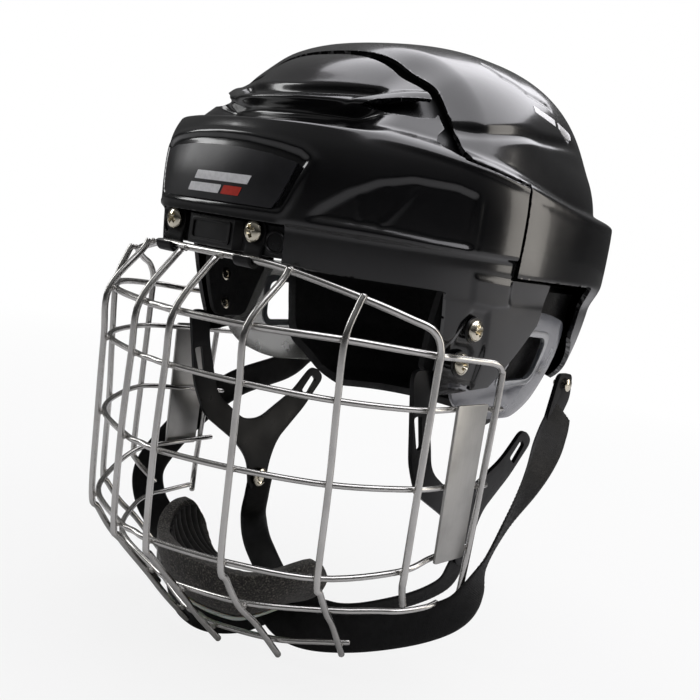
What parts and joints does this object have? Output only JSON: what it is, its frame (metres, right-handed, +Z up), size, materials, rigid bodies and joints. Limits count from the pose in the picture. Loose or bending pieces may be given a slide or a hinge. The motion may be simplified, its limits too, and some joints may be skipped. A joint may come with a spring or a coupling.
{
  "type": "ice hockey helmet cage",
  "caption": "Ice hockey helmet with a hinged wire face cage, chin cup, webbing straps and a two-part adjustable shell.",
  "frame": {"origin": "on the flat front of the forehead band, midway between the two cage clips", "axes": "+Z up, the face looks along -Y, +X is the wearer's left"},
  "size_m": [0.226, 0.2958, 0.3264],
  "materials": {
    "shell_plastic": "gloss black moulded shell",
    "matte_black_plastic": "fine grained matte black",
    "charcoal_plastic": "satin charcoal moulding",
    "satin_steel": "bare satin steel wire, welded",
    "nickel_plate": "nickel plate, slightly dulled",
    "smoky_plastic": "translucent smoky grey moulding",
    "foam": "closed-cell black foam",
    "felt": "speckled felt over padding",
    "pale_plastic": "pale flexible moulding",
    "webbing": "woven black webbing with fine diagonal ribs"
  },
  "bodies": {
    "front_group": {"badge_plate": "matte_black_plastic", "cage_clip_left": "charcoal_plastic", "cage_clip_right": "charcoal_plastic", "clip_screw_left": "nickel_plate", "clip_screw_right": "nickel_plate", "ear_guard_left": "smoky_plastic", "ear_guard_right": "smoky_plastic", "ear_loop_left": "charcoal_plastic", "ear_loop_right": "charcoal_plastic", "forehead_band": "matte_black_plastic", "front_liner": "foam", "front_shell": "shell_plastic", "side_liner_left": "foam", "side_liner_right": "foam", "snap_left": "nickel_plate", "snap_right": "nickel_plate", "temple_screw_lower_left": "nickel_plate", "temple_screw_lower_right": "nickel_plate", "temple_screw_upper_left": "nickel_plate", "temple_screw_upper_right": "nickel_plate"},
    "rear_group": {"rear_shell": "shell_plastic", "slide_strip": "matte_black_plastic", "rear_liner": "foam", "neck_liner": "foam", "crown_liner": "foam", "hook_stud_left": "nickel_plate", "hook_stud_right": "nickel_plate"},
    "cage": {"cage_strap_left": "webbing", "cage_strap_right": "webbing", "chin_cup_base": "pale_plastic", "chin_cup_pad": "felt", "chin_wire_lower": "satin_steel", "chin_wire_upper": "satin_steel", "cross_wire_1": "satin_steel", "cross_wire_2": "satin_steel", "cross_wire_3": "satin_steel", "frame_wire_side": "satin_steel", "frame_wire_top": "satin_steel", "side_plate_left": "satin_steel", "side_plate_right": "satin_steel", "strap_hook_left": "charcoal_plastic", "strap_hook_right": "charcoal_plastic", "upright_left_1": "satin_steel", "upright_left_2": "satin_steel", "upright_left_3": "satin_steel", "upright_right_1": "satin_steel", "upright_right_2": "satin_steel", "upright_right_3": "satin_steel"},
    "chin_strap_body": {"chin_strap": "webbing"}
  },
  "joints": [
    {"name": "cage_hinge", "type": "hinge", "parent": "front_group", "child": "cage", "pos_m": [0, -0.0009, -0.0127], "axis": [-1, 0, 0], "range_deg": [0, 85]},
    {"name": "size_slide", "type": "slide", "parent": "front_group", "child": "rear_group", "axis": [0, 1, 0], "range_m": [0, 0.015]},
    {"name": "chin_strap_swing", "type": "hinge", "parent": "front_group", "child": "chin_strap_body", "pos_m": [0, 0.1375, -0.157], "axis": [0.9869, 0.1612, 0], "range_deg": [-20, 30]}
  ]
}
